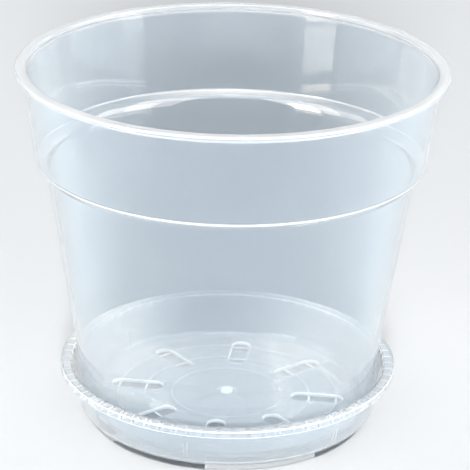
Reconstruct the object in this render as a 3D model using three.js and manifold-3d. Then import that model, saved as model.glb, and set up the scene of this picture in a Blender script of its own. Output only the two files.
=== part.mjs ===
// Clear orchid pot standing in its drip saucer.
// Each piece is one thin-walled moulding: a wall section turned about the axis, then pierced or ribbed.
// Millimetres, +Z up, origin on the axis at the level of the surface that the saucer's feet stand on.
import * as THREE from "three";
import { mergeVertices } from "three/addons/utils/BufferGeometryUtils.js";
import Module from "manifold-3d";

const wasm = await Module();
wasm.setup();

// Pot: body, shoulder, collar and rim. Diameters are outside sizes of the wall.
const POT_HEIGHT = 126;
const POT_WALL = 1.3;
const RIM_DIAMETER = 150;
const RIM_THICKNESS = 1.7;
const RIM_EDGE_ROUND = 0.7;
const RIM_FILLET = 1.4;
const RIM_INNER_ROUND = 0.5;
const COLLAR_TOP_DIAMETER = 145;
const COLLAR_FOOT_DIAMETER = 137.2;
const COLLAR_HEIGHT = 32.6;
const SHOULDER_DROP = 2.4;
const SHOULDER_ROUND = 1.6;
const BODY_TOP_DIAMETER = 129.4;
const BODY_FOOT_DIAMETER = 103;
const BODY_FOOT_ROUND = 4.2;

// Drain slots, spread like spokes over the pot's floor, and the gate marks in the middle of both floors.
const SLOT_COUNT = 8;
const SLOT_WIDTH = 6.2;
const SLOT_INNER_RADIUS = 23.7;
const SLOT_OUTER_RADIUS = 42.4;
const GATE_DIAMETER = 4.4;
const GATE_HEIGHT = 0.5;

// Saucer: dish, and the rim that is hollowed from below between its ribs.
const SAUCER_HEIGHT = 19.9;
const SAUCER_WALL = 1.2;
const SAUCER_RIM_DIAMETER = 120.8;
const SAUCER_RIM_DEPTH = 2.7;
const SAUCER_RIM_PLATE = 1.1;
const SAUCER_RIM_SKIRT = 1;
const SAUCER_RIM_ROUND = 0.7;
const SAUCER_TOP_DIAMETER = 114;
const SAUCER_BASE_DIAMETER = 106;
const SAUCER_BASE_ROUND = 3;
const RIM_RIB_COUNT = 72;
const RIM_RIB_WIDTH = 1.6;

// Saucer: round ridges that carry the pot, ribs that centre it, and the arc-shaped feet.
const RIDGE_COUNT = 3;
const RIDGE_FIRST_RADIUS = 20;
const RIDGE_PITCH = 10;
const RIDGE_HEIGHT = 1.2;
const RIDGE_TOP_WIDTH = 0.9;
const RIDGE_SLOPE = 0.4;
const CENTRING_RIB_COUNT = 6;
const CENTRING_RIB_WIDTH = 1.4;
const CENTRING_RIB_HEIGHT = 6;
const CENTRING_CLEARANCE = 0.4;
const FOOT_COUNT = 4;
const FOOT_HEIGHT = 2.4;
const FOOT_WIDTH = 6;
const FOOT_SETBACK = 2.4;
const FOOT_ARC = THREE.MathUtils.degToRad(46);
const SAUCER_PHASE = THREE.MathUtils.degToRad(22.5);

// Fineness of the facets, how far a cutter runs past the face that it meets, and the share of the shorter
// neighbouring edge that a rounded corner may use up.
const TURN_SEGMENTS = 72;
const ARC_STEP = THREE.MathUtils.degToRad(32);
const END_SEGMENTS = 6;
const OVERRUN = 0.5;
const ROUND_SHARE = 0.48;

// Levels that the two pieces share.
const SAUCER_FLOOR_TOP = FOOT_HEIGHT + SAUCER_WALL;
const POT_SEAT = SAUCER_FLOOR_TOP + RIDGE_HEIGHT;
const FULL_TURN = 2 * Math.PI;

// A corner of a wall section: distance from the axis, height, and the radius that rounds it off.
const corner = (r, z, round = 0) => ({ r, z, round });

const heading = (from, to) => new THREE.Vector2(to.r - from.r, to.z - from.z).normalize();

// An open section line moved to its left by the wall's thickness, with mitred corners and matching rounds.
function inset(line, thickness) {
  const last = line.length - 1;
  return line.map((here, i) => {
    const arriving = heading(line[Math.max(i - 1, 0)], line[Math.max(i, 1)]);
    const leaving = heading(line[Math.min(i, last - 1)], line[Math.min(i + 1, last)]);
    const mitre = thickness / (1 + arriving.dot(leaving));
    const turnsLeft = arriving.cross(leaving) > 0;
    const round = here.round && Math.max(here.round + (turnsLeft ? -thickness : thickness), 0);
    const r = here.r - mitre * (arriving.y + leaving.y);
    const z = here.z + mitre * (arriving.x + leaving.x);
    return corner(r, z, round);
  });
}

// Point of the line through two corners at a given height.
function atHeight(a, b, z, round = 0) {
  return corner(a.r + (b.r - a.r) * (z - a.z) / (b.z - a.z), z, round);
}

// Outline points of a section, with each rounded corner drawn as an arc that fits its neighbours.
function sectionPoints(corners) {
  const distance = (a, b) => Math.hypot(a.r - b.r, a.z - b.z);
  return corners.flatMap((here, i) => {
    const middle = new THREE.Vector2(here.r, here.z);
    if (!here.round) return [middle];
    const back = heading(here, corners[i - 1]);
    const ahead = heading(here, corners[i + 1]);
    const half = Math.acos(THREE.MathUtils.clamp(back.dot(ahead), -1, 1)) / 2;
    const room = ROUND_SHARE * Math.min(distance(here, corners[i - 1]), distance(here, corners[i + 1]));
    const reach = Math.min(here.round / Math.tan(half), room);
    const bisector = back.clone().add(ahead).normalize();
    const centre = middle.clone().addScaledVector(bisector, reach / Math.cos(half));
    const start = middle.clone().addScaledVector(back, reach);
    const sweep = (Math.PI - 2 * half) * Math.sign(ahead.cross(back));
    const steps = Math.ceil(Math.abs(sweep) / ARC_STEP);
    const along = (k) => start.clone().rotateAround(centre, sweep * k / steps);
    return Array.from({ length: steps + 1 }, (_, k) => along(k));
  });
}

// Closed solid for cutting and joining, from any closed geometry.
function solid(geometry) {
  const bare = geometry.clone();
  bare.deleteAttribute("normal");
  bare.deleteAttribute("uv");
  const merged = mergeVertices(bare);
  const triangles = [];
  for (let i = 0; i < merged.index.count; i += 3) {
    const [a, b, c] = [0, 1, 2].map((k) => merged.index.getX(i + k));
    if (a !== b && b !== c && c !== a) triangles.push(a, b, c);
  }
  const vertProperties = new Float32Array(merged.attributes.position.array);
  const triVerts = new Uint32Array(triangles);
  return new wasm.Manifold(new wasm.Mesh({ numProp: 3, vertProperties, triVerts }));
}

function turned(corners) {
  return solid(new THREE.LatheGeometry(sectionPoints(corners), TURN_SEGMENTS).rotateX(Math.PI / 2));
}

// Upright prism over a flat outline, from one height to another.
function prism(outline, low, high) {
  const settings = { depth: high - low, bevelEnabled: false, curveSegments: END_SEGMENTS };
  return new THREE.ExtrudeGeometry(outline, settings).translate(0, 0, low);
}

// Copies of a piece spread evenly around the axis.
function spread(geometry, count, phase) {
  const copy = (k) => solid(geometry.clone().rotateZ(phase + FULL_TURN * k / count));
  return Array.from({ length: count }, (_, k) => copy(k));
}

const joinAll = (body, pieces) => pieces.reduce((whole, piece) => whole.add(piece), body);
const cutAll = (body, pieces) => pieces.reduce((whole, piece) => whole.subtract(piece), body);

function named(name, body, material) {
  const mesh = body.getMesh();
  const geometry = new THREE.BufferGeometry();
  geometry.setAttribute("position", new THREE.BufferAttribute(mesh.vertProperties, 3));
  geometry.setIndex(new THREE.BufferAttribute(mesh.triVerts, 1));
  geometry.computeVertexNormals();
  const node = new THREE.Mesh(geometry, material);
  node.name = name;
  return node;
}

// Pot, drawn from the underside of its floor.
const SHOULDER_TOP = POT_HEIGHT - COLLAR_HEIGHT;
const potFoot = corner(BODY_FOOT_DIAMETER / 2, 0, BODY_FOOT_ROUND);
const bodyTop = corner(BODY_TOP_DIAMETER / 2, SHOULDER_TOP - SHOULDER_DROP, SHOULDER_ROUND);
const collarFoot = corner(COLLAR_FOOT_DIAMETER / 2, SHOULDER_TOP, SHOULDER_ROUND);
const collarTop = corner(COLLAR_TOP_DIAMETER / 2, POT_HEIGHT);

function potSection() {
  const outside = [corner(0, 0), potFoot, bodyTop, collarFoot, collarTop];
  const inside = inset(outside, POT_WALL);
  const rimUnderside = POT_HEIGHT - RIM_THICKNESS;
  const rimRadius = RIM_DIAMETER / 2;
  const gateRadius = GATE_DIAMETER / 2;
  return [
    ...outside.slice(0, -1),
    atHeight(collarFoot, collarTop, rimUnderside, RIM_FILLET),
    corner(rimRadius, rimUnderside, RIM_EDGE_ROUND),
    corner(rimRadius, POT_HEIGHT, RIM_EDGE_ROUND),
    atHeight(inside[3], inside[4], POT_HEIGHT, RIM_INNER_ROUND),
    ...inside.slice(1, 4).reverse(),
    corner(gateRadius, POT_WALL),
    corner(gateRadius - GATE_HEIGHT, POT_WALL + GATE_HEIGHT),
    corner(0, POT_WALL + GATE_HEIGHT),
  ];
}

function drainSlot() {
  const half = SLOT_WIDTH / 2;
  const outline = new THREE.Shape();
  outline.absarc(SLOT_OUTER_RADIUS - half, 0, half, -Math.PI / 2, Math.PI / 2);
  outline.absarc(SLOT_INNER_RADIUS + half, 0, half, Math.PI / 2, 3 * Math.PI / 2);
  return prism(outline, -OVERRUN, POT_WALL + OVERRUN);
}

// Saucer, drawn from the surface that it stands on.
const RIM_UNDERSIDE = SAUCER_HEIGHT - SAUCER_RIM_DEPTH;
const dishBase = corner(SAUCER_BASE_DIAMETER / 2, FOOT_HEIGHT, SAUCER_BASE_ROUND);
const dishTop = corner(SAUCER_TOP_DIAMETER / 2, RIM_UNDERSIDE);
const dishInside = inset([corner(0, FOOT_HEIGHT), dishBase, dishTop], SAUCER_WALL);

function ridge(radius) {
  const top = RIDGE_TOP_WIDTH / 2;
  const foot = top + RIDGE_SLOPE;
  return [
    corner(radius + foot, SAUCER_FLOOR_TOP),
    corner(radius + top, POT_SEAT),
    corner(radius - top, POT_SEAT),
    corner(radius - foot, SAUCER_FLOOR_TOP),
  ];
}

function saucerSection() {
  const rimRadius = SAUCER_RIM_DIAMETER / 2;
  const gateRadius = GATE_DIAMETER / 2;
  const radii = Array.from({ length: RIDGE_COUNT }, (_, k) => RIDGE_FIRST_RADIUS + k * RIDGE_PITCH);
  return [
    corner(0, FOOT_HEIGHT - GATE_HEIGHT),
    corner(gateRadius - GATE_HEIGHT, FOOT_HEIGHT - GATE_HEIGHT),
    corner(gateRadius, FOOT_HEIGHT),
    dishBase,
    dishTop,
    corner(rimRadius, RIM_UNDERSIDE),
    corner(rimRadius, SAUCER_HEIGHT, SAUCER_RIM_ROUND),
    atHeight(dishInside[1], dishInside[2], SAUCER_HEIGHT, SAUCER_RIM_ROUND),
    dishInside[1],
    ...radii.reverse().flatMap(ridge),
    dishInside[0],
  ];
}

// Hollow under the rim between two neighbouring ribs, which keep an even width.
function rimPocket() {
  const halfPitch = Math.PI / RIM_RIB_COUNT;
  const halfWidth = (r) => r * Math.tan(halfPitch) - RIM_RIB_WIDTH / 2;
  const inner = dishTop.r;
  const outer = SAUCER_RIM_DIAMETER / 2 - SAUCER_RIM_SKIRT;
  const outline = new THREE.Shape();
  outline.moveTo(inner, -halfWidth(inner));
  outline.lineTo(outer, -halfWidth(outer));
  outline.lineTo(outer, halfWidth(outer));
  outline.lineTo(inner, halfWidth(inner));
  return prism(outline, RIM_UNDERSIDE - OVERRUN, SAUCER_HEIGHT - SAUCER_RIM_PLATE);
}

// Upright rib on the inside of the dish. Its free edge follows the pot's wall.
function centringRib() {
  const low = FOOT_HEIGHT + SAUCER_BASE_ROUND;
  const high = low + CENTRING_RIB_HEIGHT;
  const freeEdge = (z) => atHeight(potFoot, bodyTop, z - POT_SEAT).r + CENTRING_CLEARANCE;
  const root = (z) => atHeight(dishInside[1], dishInside[2], z).r + SAUCER_WALL / 2;
  const outline = new THREE.Shape();
  outline.moveTo(freeEdge(low), low);
  outline.lineTo(root(low), low);
  outline.lineTo(root(high), high);
  outline.lineTo(freeEdge(high), high);
  return prism(outline, -CENTRING_RIB_WIDTH / 2, CENTRING_RIB_WIDTH / 2).rotateX(Math.PI / 2);
}

function foot() {
  const outer = dishBase.r - FOOT_SETBACK;
  const inner = outer - FOOT_WIDTH;
  const outline = new THREE.Shape();
  outline.absarc(0, 0, outer, -FOOT_ARC / 2, FOOT_ARC / 2);
  outline.absarc(0, 0, inner, FOOT_ARC / 2, -FOOT_ARC / 2, true);
  return prism(outline, 0, FOOT_HEIGHT + SAUCER_WALL / 2);
}

function clearPlastic(color, roughness) {
  return new THREE.MeshStandardMaterial({ color, roughness, metalness: 0, transparent: true, opacity: 0.5 });
}

function makePot() {
  const body = cutAll(turned(potSection()), spread(drainSlot(), SLOT_COUNT, 0));
  const node = named("pot", body, clearPlastic(0xc9d9e6, 0.22));
  node.position.z = POT_SEAT;
  return node;
}

function makeSaucer() {
  const pockets = spread(rimPocket(), RIM_RIB_COUNT, Math.PI / RIM_RIB_COUNT);
  const rimmed = cutAll(turned(saucerSection()), pockets);
  const ribbed = joinAll(rimmed, spread(centringRib(), CENTRING_RIB_COUNT, SAUCER_PHASE));
  const body = joinAll(ribbed, spread(foot(), FOOT_COUNT, SAUCER_PHASE));
  return named("saucer", body, clearPlastic(0xd3dfe8, 0.25));
}

const orchidPot = new THREE.Group();
orchidPot.add(makeSaucer(), makePot());

export default orchidPot;
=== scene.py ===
"""Clear orchid pot in its drip saucer: fine moulded surfaces, clear plastic, studio light and camera."""

import math

import bmesh
import bpy
from mathutils import Matrix, Vector


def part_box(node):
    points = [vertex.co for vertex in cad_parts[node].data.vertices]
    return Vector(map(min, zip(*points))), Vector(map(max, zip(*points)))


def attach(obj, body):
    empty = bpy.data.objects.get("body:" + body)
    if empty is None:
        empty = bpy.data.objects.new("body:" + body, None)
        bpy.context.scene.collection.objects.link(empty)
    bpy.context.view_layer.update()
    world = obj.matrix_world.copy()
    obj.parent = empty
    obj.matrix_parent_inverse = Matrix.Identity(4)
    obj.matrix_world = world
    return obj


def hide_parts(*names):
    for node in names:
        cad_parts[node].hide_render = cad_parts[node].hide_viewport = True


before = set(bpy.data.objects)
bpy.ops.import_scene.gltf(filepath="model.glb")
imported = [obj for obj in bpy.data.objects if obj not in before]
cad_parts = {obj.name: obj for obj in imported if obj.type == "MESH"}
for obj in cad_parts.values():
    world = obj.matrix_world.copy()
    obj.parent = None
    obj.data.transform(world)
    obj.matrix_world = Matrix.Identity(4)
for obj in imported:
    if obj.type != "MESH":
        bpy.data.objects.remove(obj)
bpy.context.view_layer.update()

MM = 0.001
pot_low, pot_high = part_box("pot")
saucer_low, saucer_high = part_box("saucer")

# Pot. The seat, the top and the rim come from the frame. Wall radii are outside sizes, and the ledge is
# the inner edge of the shoulder.
POT_SEAT = pot_low.z
POT_TOP = pot_high.z
RIM_RADIUS = pot_high.x
POT_WALL = 1.3 * MM
RIM_THICKNESS = 1.7 * MM
RIM_EDGE_ROUND = 0.8 * MM
RIM_FILLET = 1.4 * MM
RIM_INNER_ROUND = 0.5 * MM
RIM_INNER_BAND = 1.3 * MM
COLLAR_TOP_RADIUS = 72.5 * MM
COLLAR_FOOT_RADIUS = 68.6 * MM
COLLAR_HEIGHT = 32.6 * MM
SHOULDER_DROP = 2.4 * MM
SHOULDER_ROUND = 1.6 * MM
LEDGE_ROUND = 6.5 * MM
BODY_TOP_RADIUS = 64.7 * MM
BODY_FOOT_RADIUS = 51.5 * MM
BODY_FOOT_ROUND = 4.2 * MM

# Drain slots in the pot's floor, and the gate marks in the middle of both floors.
SLOT_COUNT = 8
SLOT_WIDTH = 6.2 * MM
SLOT_INNER_RADIUS = 23.7 * MM
SLOT_OUTER_RADIUS = 42.4 * MM
SLOT_LIP = 0.55 * MM
SLOT_UNDER_LIP = 0.3 * MM
GATE_RADIUS = 2.2 * MM
GATE_HEIGHT = 0.5 * MM
GATE_RING_RADIUS = 3.5 * MM
GATE_RING_DEPTH = 0.15 * MM

# Saucer. The ground, the top and the rim come from the frame.
GROUND = saucer_low.z
SAUCER_TOP = saucer_high.z
SAUCER_RIM_RADIUS = saucer_high.x
SAUCER_WALL = 1.2 * MM
SAUCER_RIM_DEPTH = 2.7 * MM
SAUCER_RIM_PLATE = 1.1 * MM
SAUCER_RIM_SKIRT = 1.0 * MM
SAUCER_RIM_ROUND = 0.7 * MM
SAUCER_TOP_RADIUS = 57 * MM
SAUCER_BASE_RADIUS = 53 * MM
SAUCER_BASE_ROUND = 3 * MM
RIM_RIB_COUNT = 72
RIM_RIB_WIDTH = 1.6 * MM
RIDGE_RADII = (20 * MM, 30 * MM, 40 * MM)
RIDGE_TOP_WIDTH = 0.9 * MM
RIDGE_SLOPE = 0.4 * MM
RIDGE_ROUND = 0.25 * MM
CENTRING_RIB_COUNT = 6
CENTRING_RIB_WIDTH = 1.4 * MM
CENTRING_RIB_HEIGHT = 6 * MM
CENTRING_CLEARANCE = 0.4 * MM
FOOT_COUNT = 4
FOOT_HEIGHT = 2.4 * MM
FOOT_WIDTH = 6 * MM
FOOT_SETBACK = 2.4 * MM
FOOT_ARC = math.radians(46)
FOOT_EDGE = 0.3 * MM
SAUCER_PHASE = math.radians(22.5)

# Fineness of the meshes, how far a cutter runs past the face that it meets, the distance at which points
# are merged, and the angle from which an edge stays crisp.
TURN_SEGMENTS = 288
ARC_STEP = math.radians(9)
END_STEPS = 16
LIP_STEPS = 6
OVERRUN = 0.5 * MM
MERGE_DISTANCE = 0.001 * MM
SHARP_ANGLE = math.radians(32)

# Camera, from the ellipses of the rim, the shoulder and the saucer in the 470 pixel wide photograph.
IMAGE_SIDE = 470
FOCAL_PIXELS = 2268.6
CAMERA_DISTANCE = 805.2 * MM
CAMERA_ELEVATION = math.radians(22.32)
CAMERA_AZIMUTH = math.radians(7.51)
CAMERA_ROLL = math.radians(1.13)
AIM_HEIGHT = 67.2 * MM
AIM_ASIDE = 1.83 * MM
SENSOR_WIDTH = 36
CLIP_START = 50 * MM


# Wall sections

def corner(r, z, round_off=0.0):
    """A corner of a wall section: distance from the axis, height, and the radius that rounds it off."""
    return r, z, round_off


def heading(start, end):
    """Direction from one corner of a section to another."""
    return Vector((end[0] - start[0], end[1] - start[1])).normalized()


def cross(a, b):
    """Positive where b points to the left of a."""
    return a.x * b.y - a.y * b.x


def inset(line, thickness):
    """The section line moved to its left by the wall's thickness, with mitred corners and matching rounds."""
    last = len(line) - 1
    moved = []
    for i, (r, z, round_off) in enumerate(line):
        arriving = heading(line[max(i - 1, 0)], line[max(i, 1)])
        leaving = heading(line[min(i, last - 1)], line[min(i + 1, last)])
        mitre = thickness / (1 + arriving.dot(leaving))
        change = -thickness if cross(arriving, leaving) > 0 else thickness
        new_round = max(round_off + change, 0) if round_off else 0
        shift_r = -mitre * (arriving.y + leaving.y)
        shift_z = mitre * (arriving.x + leaving.x)
        moved.append(corner(r + shift_r, z + shift_z, new_round))
    return moved


def at_height(a, b, z, round_off=0.0):
    """Point of the line through two corners at a given height."""
    return corner(a[0] + (b[0] - a[0]) * (z - a[1]) / (b[1] - a[1]), z, round_off)


def section_points(corners):
    """Outline points of a section, with each rounded corner drawn as an arc."""
    points = []
    for i, (r, z, round_off) in enumerate(corners):
        middle = Vector((r, z))
        if not round_off:
            points.append(middle)
            continue
        back = heading(corners[i], corners[i - 1])
        ahead = heading(corners[i], corners[i + 1])
        half = back.angle(ahead) / 2
        reach = round_off / math.tan(half)
        centre = middle + (back + ahead).normalized() * reach / math.cos(half)
        start = middle + back * reach - centre
        sweep = math.copysign(math.pi - 2 * half, cross(ahead, back))
        steps = max(2, math.ceil(abs(sweep) / ARC_STEP))
        points += [centre + Matrix.Rotation(sweep * k / steps, 2) @ start for k in range(steps + 1)]
    return points


# Meshes

def mesh_object(name, vertices, faces):
    """A new mesh object with its faces turned outwards."""
    mesh = bpy.data.meshes.new(name)
    mesh.from_pydata(vertices, [], faces)
    shape = bmesh.new()
    shape.from_mesh(mesh)
    bmesh.ops.recalc_face_normals(shape, faces=shape.faces)
    shape.to_mesh(mesh)
    shape.free()
    made = bpy.data.objects.new(name, mesh)
    bpy.context.scene.collection.objects.link(made)
    return made


def turned(name, corners):
    """A solid of revolution whose section starts and ends on the axis."""
    outline = section_points(corners)
    angles = [2 * math.pi * k / TURN_SEGMENTS for k in range(TURN_SEGMENTS)]
    vertices = [(0, 0, outline[0].y)]
    for point in outline[1:-1]:
        vertices += [(point.x * math.cos(a), point.x * math.sin(a), point.y) for a in angles]
    vertices.append((0, 0, outline[-1].y))
    last = len(vertices) - 1
    rings = len(outline) - 2
    faces = []
    for k in range(TURN_SEGMENTS):
        following = (k + 1) % TURN_SEGMENTS
        faces.append((0, 1 + following, 1 + k))
        for ring in range(rings - 1):
            low = 1 + ring * TURN_SEGMENTS
            high = low + TURN_SEGMENTS
            faces.append((low + k, low + following, high + following, high + k))
        end = 1 + (rings - 1) * TURN_SEGMENTS
        faces.append((end + k, end + following, last))
    return mesh_object(name, vertices, faces)


def lofted(layers, count, phase):
    """Vertices and faces of a closed prism through equal flat outlines, repeated around the axis."""
    vertices, faces = [], []
    size = len(layers[0])
    for copy in range(count):
        turn = Matrix.Rotation(phase + 2 * math.pi * copy / count, 3, "Z")
        base = len(vertices)
        vertices += [turn @ Vector(point) for layer in layers for point in layer]
        faces.append(tuple(base + k for k in range(size)))
        faces.append(tuple(base + (len(layers) - 1) * size + k for k in range(size)))
        for layer in range(len(layers) - 1):
            low = base + layer * size
            high = low + size
            for k in range(size):
                following = (k + 1) % size
                faces.append((low + k, low + following, high + following, high + k))
    return vertices, faces


def combine(body, operation, layers, count, phase=0.0):
    """Cuts a repeated prism out of a body, or joins it on."""
    tool = mesh_object("tool", *lofted(layers, count, phase))
    modifier = body.modifiers.new(operation, "BOOLEAN")
    modifier.operation = operation
    modifier.solver = "EXACT"
    modifier.object = tool
    result = bpy.data.meshes.new_from_object(body.evaluated_get(bpy.context.evaluated_depsgraph_get()))
    body.modifiers.clear()
    old = body.data
    result.name = old.name
    body.data = result
    bpy.data.meshes.remove(old)
    bpy.data.objects.remove(tool)


def finish_mesh(body):
    """Merges doubled points, turns the faces outwards, and smooths all but the crisp edges."""
    shape = bmesh.new()
    shape.from_mesh(body.data)
    bmesh.ops.remove_doubles(shape, verts=shape.verts, dist=MERGE_DISTANCE)
    bmesh.ops.recalc_face_normals(shape, faces=shape.faces)
    shape.to_mesh(body.data)
    shape.free()
    body.data.shade_smooth()
    body.data.set_sharp_from_angle(angle=SHARP_ANGLE)


# Pot

POT_FLOOR = POT_SEAT + POT_WALL
SHOULDER_TOP = POT_TOP - COLLAR_HEIGHT
pot_foot = corner(BODY_FOOT_RADIUS, POT_SEAT, BODY_FOOT_ROUND)
body_top = corner(BODY_TOP_RADIUS, SHOULDER_TOP - SHOULDER_DROP, SHOULDER_ROUND)
collar_foot = corner(COLLAR_FOOT_RADIUS, SHOULDER_TOP, SHOULDER_ROUND)
collar_top = corner(COLLAR_TOP_RADIUS, POT_TOP)


def pot_section():
    """Section of the pot, from the axis up its outside and back down its inside."""
    outside = [corner(0, POT_SEAT), pot_foot, body_top, collar_foot, collar_top]
    _, foot_inside, shoulder_inside, collar_inside, mouth = inset(outside, POT_WALL)
    ledge = corner(*shoulder_inside[:2], LEDGE_ROUND)
    rim_underside = POT_TOP - RIM_THICKNESS
    return [
        *outside[:-1],
        at_height(collar_foot, collar_top, rim_underside, RIM_FILLET),
        corner(RIM_RADIUS, rim_underside, RIM_EDGE_ROUND),
        corner(RIM_RADIUS, POT_TOP, RIM_EDGE_ROUND),
        at_height(collar_inside, mouth, POT_TOP, RIM_INNER_ROUND),
        at_height(collar_inside, mouth, POT_TOP - RIM_INNER_BAND),
        at_height(collar_inside, mouth, rim_underside - POT_WALL),
        collar_inside,
        ledge,
        foot_inside,
        corner(GATE_RING_RADIUS, POT_FLOOR),
        corner(GATE_RING_RADIUS - GATE_RING_DEPTH, POT_FLOOR - GATE_RING_DEPTH),
        corner(GATE_RADIUS + GATE_RING_DEPTH, POT_FLOOR - GATE_RING_DEPTH),
        corner(GATE_RADIUS, POT_FLOOR + GATE_HEIGHT, GATE_HEIGHT / 2),
        corner(0, POT_FLOOR + GATE_HEIGHT),
    ]


def slot_layer(z, growth):
    """Outline of a slot with round ends along +X, widened all round."""
    half = SLOT_WIDTH / 2
    ends = ((SLOT_OUTER_RADIUS - half, -math.pi / 2), (SLOT_INNER_RADIUS + half, math.pi / 2))
    return [
        (middle + (half + growth) * math.cos(first + math.pi * k / END_STEPS),
         (half + growth) * math.sin(first + math.pi * k / END_STEPS), z)
        for middle, first in ends for k in range(END_STEPS + 1)
    ]


def slot_layers():
    """The slot from under the floor to over it, with both lips rounded."""
    quarter = [math.pi / 2 * k / LIP_STEPS for k in range(LIP_STEPS + 1)]

    def lip(radius):
        return [(radius * (1 - math.sin(a)), radius * (1 - math.cos(a))) for a in quarter]

    low = [slot_layer(POT_SEAT + rise, growth) for growth, rise in lip(SLOT_UNDER_LIP)]
    high = [slot_layer(POT_FLOOR - rise, growth) for growth, rise in reversed(lip(SLOT_LIP))]
    under = slot_layer(POT_SEAT - OVERRUN, SLOT_UNDER_LIP)
    return [under, *low, *high, slot_layer(POT_FLOOR + OVERRUN, SLOT_LIP)]


def make_pot():
    pot = turned("clear_pot", pot_section())
    combine(pot, "DIFFERENCE", slot_layers(), SLOT_COUNT)
    finish_mesh(pot)
    return pot


# Saucer

SAUCER_FLOOR_UNDER = GROUND + FOOT_HEIGHT
SAUCER_FLOOR = SAUCER_FLOOR_UNDER + SAUCER_WALL
SAUCER_RIM_UNDERSIDE = SAUCER_TOP - SAUCER_RIM_DEPTH
dish_outside = [
    corner(0, SAUCER_FLOOR_UNDER),
    corner(SAUCER_BASE_RADIUS, SAUCER_FLOOR_UNDER, SAUCER_BASE_ROUND),
    corner(SAUCER_TOP_RADIUS, SAUCER_RIM_UNDERSIDE),
]
dish_inside = inset(dish_outside, SAUCER_WALL)


def ridge(radius):
    """Section of a round ridge that carries the pot, from its outer foot to its inner one."""
    top = RIDGE_TOP_WIDTH / 2
    foot = top + RIDGE_SLOPE
    return [
        corner(radius + foot, SAUCER_FLOOR, RIDGE_ROUND),
        corner(radius + top, POT_SEAT, RIDGE_ROUND),
        corner(radius - top, POT_SEAT, RIDGE_ROUND),
        corner(radius - foot, SAUCER_FLOOR, RIDGE_ROUND),
    ]


def saucer_section():
    """Section of the saucer, from the axis out along its underside and back along its inside."""
    return [
        corner(0, SAUCER_FLOOR_UNDER - GATE_HEIGHT),
        corner(GATE_RADIUS, SAUCER_FLOOR_UNDER - GATE_HEIGHT, GATE_HEIGHT / 2),
        corner(GATE_RADIUS, SAUCER_FLOOR_UNDER),
        *dish_outside[1:],
        corner(SAUCER_RIM_RADIUS, SAUCER_RIM_UNDERSIDE, SAUCER_RIM_ROUND / 2),
        corner(SAUCER_RIM_RADIUS, SAUCER_TOP, SAUCER_RIM_ROUND),
        at_height(dish_inside[1], dish_inside[2], SAUCER_TOP, SAUCER_RIM_ROUND),
        dish_inside[1],
        *[point for radius in reversed(RIDGE_RADII) for point in ridge(radius)],
        dish_inside[0],
    ]


def pocket_layers():
    """The hollow under the rim between two ribs, which keep an even width."""
    half_pitch = math.pi / RIM_RIB_COUNT
    inner = SAUCER_TOP_RADIUS
    outer = SAUCER_RIM_RADIUS - SAUCER_RIM_SKIRT
    outline = ((inner, -1), (outer, -1), (outer, 1), (inner, 1))

    def half_width(r):
        return r * math.tan(half_pitch) - RIM_RIB_WIDTH / 2

    def layer(z):
        return [(r, side * half_width(r), z) for r, side in outline]

    return [layer(SAUCER_RIM_UNDERSIDE - OVERRUN), layer(SAUCER_TOP - SAUCER_RIM_PLATE)]


def rib_layers():
    """The two flat sides of an upright rib inside the dish, whose free edge follows the pot's wall."""
    low = SAUCER_FLOOR_UNDER + SAUCER_BASE_ROUND
    heights = (low, low + CENTRING_RIB_HEIGHT)
    free = [at_height(pot_foot, body_top, z)[0] + CENTRING_CLEARANCE for z in heights]
    root = [at_height(dish_inside[1], dish_inside[2], z)[0] + SAUCER_WALL / 2 for z in heights]
    outline = ((free[0], heights[0]), (root[0], heights[0]), (root[1], heights[1]), (free[1], heights[1]))
    return [[(r, side * CENTRING_RIB_WIDTH / 2, z) for r, z in outline] for side in (-1, 1)]


def foot_layer(z, shrink):
    """Outline of an arc-shaped foot, drawn in all round."""
    outer = SAUCER_BASE_RADIUS - FOOT_SETBACK - shrink
    inner = SAUCER_BASE_RADIUS - FOOT_SETBACK - FOOT_WIDTH + shrink
    half = FOOT_ARC / 2 - shrink / outer
    angles = [half * (2 * k / END_STEPS - 1) for k in range(END_STEPS + 1)]
    line = [(outer, a) for a in angles] + [(inner, a) for a in reversed(angles)]
    return [(r * math.cos(a), r * math.sin(a), z) for r, a in line]


def foot_layers():
    """The foot from the ground into the dish, with its lower edge taken off."""
    return [
        foot_layer(GROUND, FOOT_EDGE),
        foot_layer(GROUND + FOOT_EDGE, 0),
        foot_layer(SAUCER_FLOOR_UNDER + SAUCER_WALL / 2, 0),
    ]


def make_saucer():
    saucer = turned("clear_saucer", saucer_section())
    combine(saucer, "DIFFERENCE", pocket_layers(), RIM_RIB_COUNT, math.pi / RIM_RIB_COUNT)
    combine(saucer, "UNION", rib_layers(), CENTRING_RIB_COUNT, SAUCER_PHASE)
    combine(saucer, "UNION", foot_layers(), FOOT_COUNT, SAUCER_PHASE)
    finish_mesh(saucer)
    return saucer


# Shader arithmetic

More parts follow.
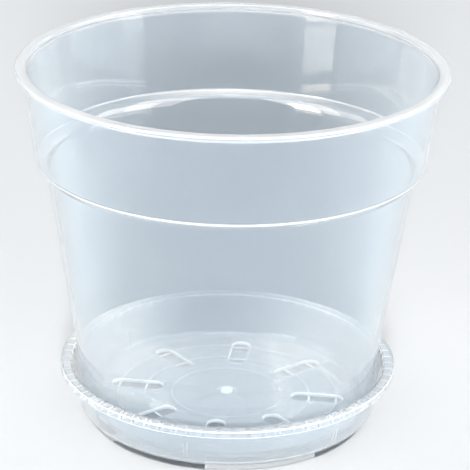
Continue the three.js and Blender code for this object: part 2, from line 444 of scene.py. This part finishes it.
class Signal:
    """An output of a shader node. Arithmetic on it adds Math nodes."""

    def __init__(self, socket):
        self.socket = socket
        self.tree = socket.id_data

    @classmethod
    def node(cls, tree, kind, settings=None, sockets=None, output=0):
        """Adds a node: settings first, then the values or links of its sockets. Gives one of its outputs."""
        made = tree.nodes.new(kind)
        for name, value in (settings or {}).items():
            if name == "stops":
                elements = made.color_ramp.elements
                for position, _ in value[len(elements):]:
                    elements.new(position)
                for element, (position, colour) in zip(elements, value):
                    element.position = position
                    element.color = colour
            else:
                setattr(made, name, value)
        for name, value in (sockets or {}).items():
            if isinstance(value, Signal):
                tree.links.new(value.socket, made.inputs[name])
            else:
                made.inputs[name].default_value = value
        return cls(made.outputs[output]) if made.outputs else None

    def other(self, output):
        """Another output of the same node."""
        return Signal(self.socket.node.outputs[output])

    def math(self, operation, first, second=0.0):
        """Adds a Math node."""
        return self.node(self.tree, "ShaderNodeMath", {"operation": operation}, {0: first, 1: second})

    def __add__(self, value):
        return self.math("ADD", self, value)

    def __sub__(self, value):
        return self.math("SUBTRACT", self, value)

    def __rsub__(self, value):
        return self.math("SUBTRACT", value, self)

    def __mul__(self, value):
        return self.math("MULTIPLY", self, value)

    __radd__ = __add__
    __rmul__ = __mul__


def new_material(name):
    """An empty material and its node tree."""
    material = bpy.data.materials.new(name)
    material.use_nodes = True
    material.node_tree.nodes.clear()
    return material, material.node_tree


# Plastic

PLASTIC_IOR = 1.49

# Noise in the plastic: scale and detail. Streaks are drawn over turn and height, the rest over metres.
STREAKS = (1.6, 3.0)
STREAKS_AROUND = 9.0
STREAKS_UPWARD = 14.0
CLOUDS = (26.0, 4.0)
GRAIN = (900.0, 2.0)
WAVES = (60.0, 1.0)

# What makes the plastic milky, and how milky it is where each of its three tints shows.
SLANT_BLEND = 0.5
SLANT_MILK = 0.85
CLOUD_MILK = 0.2
STREAK_MILK = 0.07
DEEP_AT = 0.23
PALE_AT = 0.62
GRAZING_AT = 0.95

# Gloss and relief of the surface.
LEAST_ROUGHNESS = 0.02
CLOUD_ROUGHNESS = 0.02
GRAIN_ROUGHNESS = 0.01
WAVE_RELIEF = 0.9
GRAIN_RELIEF = 0.008
RELIEF_STRENGTH = 0.01
RELIEF_DEPTH = 0.4 * MM

# Finishes by number, and in the same order their tints: seen straight on, on a slant and at a grazing angle.
WALL, FLOOR, EDGE, RIM, LIP = range(5)
# The edge, rim and lip tints and their low transmission are partly the milk of thicker plastic and partly
# painted highlight.
TINTS = {
    "clear_wall": ((0.66, 0.73, 0.79, 1), (0.92, 0.97, 1.0, 1), (0.83, 0.85, 0.86, 1)),
    "milky_floor": ((0.83, 0.87, 0.91, 1), (0.89, 0.92, 0.95, 1), (0.89, 0.92, 0.95, 1)),
    "pale_edge": ((0.88, 0.92, 0.95, 1), (0.95, 0.97, 0.98, 1), (0.95, 0.97, 0.98, 1)),
    "white_rim": ((0.90, 0.94, 0.97, 1), (0.96, 0.98, 0.99, 1), (0.96, 0.98, 0.99, 1)),
    "bright_lip": ((0.92, 0.95, 0.97, 1), (0.97, 0.98, 0.99, 1), (0.97, 0.98, 0.99, 1)),
}
FLOOR_TRANSMISSION = 0.74
RIM_TRANSMISSION = 0.50
LIP_TRANSMISSION = 0.15


def plastic(name, deep, pale, grazing, transmission):
    """Moulded polypropylene: cloudy tint, faint streaks that run out from the gate, wavy and grainy gloss."""
    material, tree = new_material(name)

    def node(kind, settings=None, sockets=None, output=0):
        return Signal.node(tree, kind, settings, sockets, output)

    def noise(place, scale, detail):
        return node("ShaderNodeTexNoise", None, {"Vector": place, "Scale": scale, "Detail": detail})

    place = node("ShaderNodeTexCoord", output="Object")
    across = node("ShaderNodeSeparateXYZ", None, {0: place})
    turn = across.math("ARCTAN2", across.other(1), across)
    around = turn * STREAKS_AROUND
    upward = across.other(2) * STREAKS_UPWARD
    streaks = noise(node("ShaderNodeCombineXYZ", None, {0: around, 1: upward}), *STREAKS)
    clouds = noise(place, *CLOUDS)
    grain = noise(place, *GRAIN)
    waves = noise(place, *WAVES)

    slant = node("ShaderNodeLayerWeight", None, {"Blend": SLANT_BLEND}, "Facing")
    milk = slant * SLANT_MILK + clouds * CLOUD_MILK + streaks * STREAK_MILK
    stops = ((DEEP_AT, deep), (PALE_AT, pale), (GRAZING_AT, grazing))
    tint = node("ShaderNodeValToRGB", {"stops": stops}, {"Fac": milk})
    roughness = LEAST_ROUGHNESS + clouds * CLOUD_ROUGHNESS + grain * GRAIN_ROUGHNESS
    bump = node("ShaderNodeBump", None, {
        "Strength": RELIEF_STRENGTH,
        "Distance": RELIEF_DEPTH,
        "Height": waves * WAVE_RELIEF + grain * GRAIN_RELIEF,
    })
    surface = node("ShaderNodeBsdfPrincipled", None, {
        "Base Color": tint,
        "Roughness": roughness,
        "IOR": PLASTIC_IOR,
        "Transmission Weight": transmission,
        "Normal": bump,
    })
    node("ShaderNodeOutputMaterial", None, {"Surface": surface})
    return material


def plastic_set(piece, wall_transmission, edge_transmission):
    """The finishes of one piece, from thin clear walls to thick edges and lips that look almost white, partly
    from the milk of thick plastic and partly as painted highlight.
    """
    shares = (wall_transmission, FLOOR_TRANSMISSION, edge_transmission, RIM_TRANSMISSION, LIP_TRANSMISSION)
    return [
        plastic(piece + "_" + finish, *tints, share)
        for (finish, tints), share in zip(TINTS.items(), shares)
    ]


# How far a face points up if it is level, on top of the rim or sloped, how far it points around the axis
# if it is the side of a rib, and the height over the pot's floor up to which faces belong to the floor.
LEVEL_FACE = 0.98
RIM_TOP_FACE = 0.3
SLOPED_FACE = 0.1
RIB_SIDE_FACE = 0.5
FLOOR_BAND = 0.5 * MM


def finish_faces(piece, finish_of):
    """Gives each face the finish that its place and direction ask for."""
    for face in piece.data.polygons:
        reach = math.hypot(face.center.x, face.center.y)
        along = (face.center.x * face.normal.y - face.center.y * face.normal.x) / max(reach, MM)
        face.material_index = finish_of(reach, face.center.z, face.normal.z, abs(along))


def pot_finish(reach, height, upward, _):
    """Finish of a face of the pot: clear wall, milky floor, and a whiter rim, shoulder edge, gate and slot
    lips, partly the milk of thicker plastic and partly painted highlight.
    """
    level = abs(upward) > LEVEL_FACE
    # The gate nub takes the lip finish: partly milk, partly a painted highlight.
    if reach < GATE_RING_RADIUS:
        return WALL if level and reach > GATE_RADIUS else LIP
    # The rim takes the rim finish: partly the milk of thick plastic, partly painted highlight.
    if height > POT_TOP - RIM_THICKNESS - POT_WALL:
        if reach > COLLAR_TOP_RADIUS:
            return FLOOR if upward < RIM_TOP_FACE else RIM
        return RIM if height > POT_TOP - RIM_INNER_BAND else FLOOR
    # The shoulder's round takes the edge finish: partly milk, partly a painted highlight line.
    if abs(height - SHOULDER_TOP) < SHOULDER_ROUND / 2 and reach > COLLAR_FOOT_RADIUS - POT_WALL / 2:
        return EDGE
    if height > POT_FLOOR + FLOOR_BAND or reach > BODY_FOOT_RADIUS - BODY_FOOT_ROUND:
        return WALL
    # The slot walls and lips take the lip finish: partly milk, partly painted highlight.
    return FLOOR if level else LIP


def saucer_finish(reach, height, upward, along):
    """Finish of a face of the saucer: milky rim, clear wall, and paler feet and whiter ribs, ridges and rim
    rounds, partly the milk of thicker plastic and partly painted highlight.
    """
    level = abs(upward) > LEVEL_FACE
    rib_side = along > RIB_SIDE_FACE
    # The feet take the edge finish: partly milk, partly painted light that sets them off from the shade
    # beneath.
    if height < SAUCER_FLOOR_UNDER - GATE_HEIGHT:
        return EDGE
    if height > SAUCER_TOP - SAUCER_RIM_ROUND / 4:
        return FLOOR
    # The rim's rounds and rib sides take the lip finish: partly milk, partly painted highlight.
    if height > SAUCER_RIM_UNDERSIDE:
        return LIP if SLOPED_FACE < abs(upward) < LEVEL_FACE or rib_side else WALL
    # Ridge tops and the centring ribs' sides take the lip finish: partly milk, partly painted glint.
    if reach < RIDGE_RADII[-1] + RIDGE_TOP_WIDTH and height > POT_SEAT - RIDGE_ROUND / 4 and level:
        return LIP
    return LIP if rib_side else WALL


# Studio

FLOOR_RADIUS = 4.0
FLOOR_COLOUR = (0.70, 0.71, 0.72, 1)
FLOOR_ROUGHNESS = 0.9
WORLD_COLOUR = (0.95, 0.975, 1.0, 1)
HORIZON_GLOW = 0.5
ZENITH_GLOW = 0.25
WHITE_LIGHT = (1.0, 1.0, 1.0)
WINDOW_LIGHT = (1.0, 0.94, 0.88)
SUNNY_LIGHT = (1.0, 0.80, 0.62)
LAMP_LIGHT = (1.0, 0.74, 0.55)
LIGHT_BOUNCES = 24
CLEAR_BOUNCES = 20

# Kinds of rays by which a light shows.
SCATTERED = ("diffuse",)
MIRRORED = ("glossy",)
MIRRORED_OR_CLEAR = ("glossy", "transmission")


def make_floor():
    """The floor around the feet, and the round patch within them, which the floor's light doesn't reach."""
    turns = [2 * math.pi * k / TURN_SEGMENTS for k in range(TURN_SEGMENTS)]
    inner, outer = (
        [(radius * math.cos(turn), radius * math.sin(turn), GROUND) for turn in turns]
        for radius in (SAUCER_BASE_RADIUS - FOOT_SETBACK, FLOOR_RADIUS)
    )
    ring = []
    for k in range(TURN_SEGMENTS):
        following = (k + 1) % TURN_SEGMENTS
        ring.append((k, following, TURN_SEGMENTS + following, TURN_SEGMENTS + k))
    floor = mesh_object("studio_floor", inner + outer, ring)
    patch = mesh_object("shaded_floor", inner, [tuple(range(TURN_SEGMENTS))])
    material, tree = new_material("pale_floor")
    paint = {"Base Color": FLOOR_COLOUR, "Roughness": FLOOR_ROUGHNESS, "Specular IOR Level": 0.0}
    surface = Signal.node(tree, "ShaderNodeBsdfPrincipled", None, paint)
    Signal.node(tree, "ShaderNodeOutputMaterial", None, {"Surface": surface})
    for part in (floor, patch):
        part.data.materials.append(material)
    return floor, patch


def add_light(name, data, azimuth, distance, height, target, seen_in):
    """Places a light that faces a height on the axis. Azimuth is in degrees from the camera, positive to
    its right. Surfaces see the light only by the kinds of rays that are named."""
    light = bpy.data.objects.new(name, data)
    bpy.context.scene.collection.objects.link(light)
    turn = CAMERA_AZIMUTH + math.radians(azimuth)
    light.location = (distance * math.sin(turn), -distance * math.cos(turn), height)
    towards = Vector((0, 0, target)) - light.location
    light.rotation_euler = towards.to_track_quat("-Z", "Y").to_euler()
    light.visible_diffuse = "diffuse" in seen_in
    light.visible_glossy = "glossy" in seen_in
    light.visible_transmission = "transmission" in seen_in
    return light


def link_light(light, lit, blockers):
    """Lets a light fall on the lit pieces only. Only the blockers stop it, so it passes through the rest."""
    for role, members in (("receiver", lit), ("blocker", blockers)):
        group = bpy.data.collections.new(light.name + "_" + role)
        for member in members:
            group.objects.link(member)
        setattr(light.light_linking, role + "_collection", group)


def panel(width, length, radiance, colour=WHITE_LIGHT):
    """A flat light that is equally bright from every side of its face."""
    data = bpy.data.lights.new("panel", "AREA")
    data.shape = "RECTANGLE"
    data.size = width
    data.size_y = length
    data.color = colour
    data.energy = radiance * math.pi * width * length
    return data


def fading_panel(width, length, radiance, colour, reach):
    """A panel that is brightest seen straight on and fades out towards an angle."""
    data = panel(width, length, radiance * (1 - reach / math.tan(reach)), colour)
    data.spread = 2 * reach
    return data


def spot(cone, radius, power, colour=WHITE_LIGHT):
    """A lamp whose cone, in degrees, fades from its middle to its edge."""
    data = bpy.data.lights.new("spot", "SPOT")
    data.color = colour
    data.spot_size = math.radians(cone)
    data.spot_blend = 1.0
    data.shadow_soft_size = radius
    data.energy = power
    return data


def light_reflections():
    """Windows, a ceiling and skylights, which show only as reflections in the plastic or through it."""
    add_light("window_left", panel(width=0.16, length=0.50, radiance=30.0, colour=SUNNY_LIGHT),
              azimuth=-54, distance=0.45, height=0.35, target=0.35, seen_in=MIRRORED_OR_CLEAR)
    add_light("window_right", panel(width=0.46, length=0.50, radiance=7.0, colour=WINDOW_LIGHT),
              azimuth=84, distance=0.45, height=0.335, target=0.335, seen_in=MIRRORED_OR_CLEAR)
    add_light("pane_left", panel(width=0.36, length=0.50, radiance=4.0, colour=WINDOW_LIGHT),
              azimuth=-90, distance=0.45, height=0.335, target=0.335, seen_in=MIRRORED_OR_CLEAR)
    reach = math.radians(29)
    add_light("ceiling", fading_panel(width=1.6, length=1.2, radiance=12.0, colour=WINDOW_LIGHT, reach=reach),
              azimuth=180, distance=0.1, height=1.1, target=0, seen_in=MIRRORED)
    for name, azimuth in (("skylight_left", -60), ("skylight_right", 60)):
        add_light(name, panel(width=0.6, length=0.88, radiance=6.0, colour=WINDOW_LIGHT),
                  azimuth, distance=0.73, height=0.66, target=0.13, seen_in=MIRRORED)


def light_pieces(pot, saucer, floor, patch):
    """Lights that each fall on both plastic pieces, on the saucer alone or on the floor around it alone."""
    plastics = (pot, saucer)
    ground = (floor, patch)
    for name, azimuth, radiance in (("side_left", -42, 1.4), ("side_right", 55, 3.2)):
        side = add_light(name, panel(width=0.3, length=0.5, radiance=radiance),
                         azimuth, distance=0.6, height=0.30, target=0.10, seen_in=SCATTERED)
        link_light(side, plastics, ground)
    overhead = add_light("overhead", panel(width=0.6, length=0.6, radiance=4.5),
                         azimuth=180, distance=0.1, height=1.1, target=0, seen_in=SCATTERED)
    link_light(overhead, plastics, plastics)
    backdrop = add_light("backdrop", panel(width=1.2, length=1.2, radiance=200.0),
                         azimuth=0, distance=6.0, height=1.78, target=AIM_HEIGHT, seen_in=SCATTERED)
    link_light(backdrop, (floor,), plastics)
    front = add_light("front", panel(width=0.4, length=0.1, radiance=120.0),
                      azimuth=0, distance=1.2, height=0.07, target=AIM_HEIGHT, seen_in=SCATTERED)
    link_light(front, plastics, plastics)
    inside = add_light("inside", spot(cone=8, radius=0.05, power=7),
                       azimuth=0, distance=0.12, height=1.0, target=0, seen_in=SCATTERED)
    link_light(inside, plastics, ground)
    saucer_front = add_light("saucer_front", spot(cone=7, radius=0.05, power=30),
                             azimuth=0, distance=0.6, height=0.8, target=-0.067, seen_in=SCATTERED)
    link_light(saucer_front, (saucer,), plastics)
    for name, azimuth in (("dish_back_left", 46), ("dish_back_right", -36)):
        lamp = add_light(name, spot(cone=5, radius=0.015, power=60, colour=LAMP_LIGHT),
                         azimuth, distance=0.5, height=0.4, target=0.0505, seen_in=SCATTERED)
        link_light(lamp, (saucer,), ground)


def make_world():
    """A pale sky that grows brighter overhead."""
    world = bpy.data.worlds.new("studio")
    world.use_nodes = True
    tree = world.node_tree
    tree.nodes.clear()
    ray = Signal.node(tree, "ShaderNodeTexCoord", output="Generated")
    rise = Signal.node(tree, "ShaderNodeSeparateXYZ", None, {0: ray}, "Z")
    upward = rise.math("MAXIMUM", rise, 0.0)
    glow = HORIZON_GLOW + upward * upward * ZENITH_GLOW
    sky = Signal.node(tree, "ShaderNodeBackground", None, {"Color": WORLD_COLOUR, "Strength": glow})
    Signal.node(tree, "ShaderNodeOutputWorld", None, {"Surface": sky})
    bpy.context.scene.world = world


def make_camera():
    """Camera at the place and angle of the photograph."""
    right = Vector((math.cos(CAMERA_AZIMUTH), math.sin(CAMERA_AZIMUTH), 0))
    ahead = Vector((-math.sin(CAMERA_AZIMUTH), math.cos(CAMERA_AZIMUTH), 0))
    sin_e, cos_e = math.sin(CAMERA_ELEVATION), math.cos(CAMERA_ELEVATION)
    forward = ahead * cos_e - Vector((0, 0, sin_e))
    up = ahead * sin_e + Vector((0, 0, cos_e))
    side = right * math.cos(CAMERA_ROLL) + up * math.sin(CAMERA_ROLL)
    top = up * math.cos(CAMERA_ROLL) - right * math.sin(CAMERA_ROLL)
    data = bpy.data.cameras.new("camera")
    data.sensor_width = SENSOR_WIDTH
    data.lens = FOCAL_PIXELS / IMAGE_SIDE * SENSOR_WIDTH
    data.clip_start = CLIP_START
    camera = bpy.data.objects.new("camera", data)
    bpy.context.scene.collection.objects.link(camera)
    place = right * AIM_ASIDE + Vector((0, 0, AIM_HEIGHT)) - forward * CAMERA_DISTANCE
    axes = Matrix((side, top, -forward)).transposed().to_4x4()
    camera.matrix_world = Matrix.Translation(place) @ axes
    bpy.context.scene.camera = camera


def stand_for(piece, node_name, finish_of, wall_transmission, edge_transmission):
    """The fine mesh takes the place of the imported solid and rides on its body."""
    piece.data.materials.clear()
    for material in plastic_set(node_name, wall_transmission, edge_transmission):
        piece.data.materials.append(material)
    finish_faces(piece, finish_of)
    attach(piece, node_name)
    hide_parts(node_name)


# Scene

pot = make_pot()
saucer = make_saucer()
stand_for(pot, "pot", pot_finish, wall_transmission=0.86, edge_transmission=0.45)
stand_for(saucer, "saucer", saucer_finish, wall_transmission=0.77, edge_transmission=0.63)
floor, patch = make_floor()
make_world()
light_reflections()
light_pieces(pot, saucer, floor, patch)
make_camera()
bpy.context.scene.view_settings.view_transform = "Standard"
bpy.context.scene.cycles.max_bounces = LIGHT_BOUNCES
bpy.context.scene.cycles.transmission_bounces = CLEAR_BOUNCES
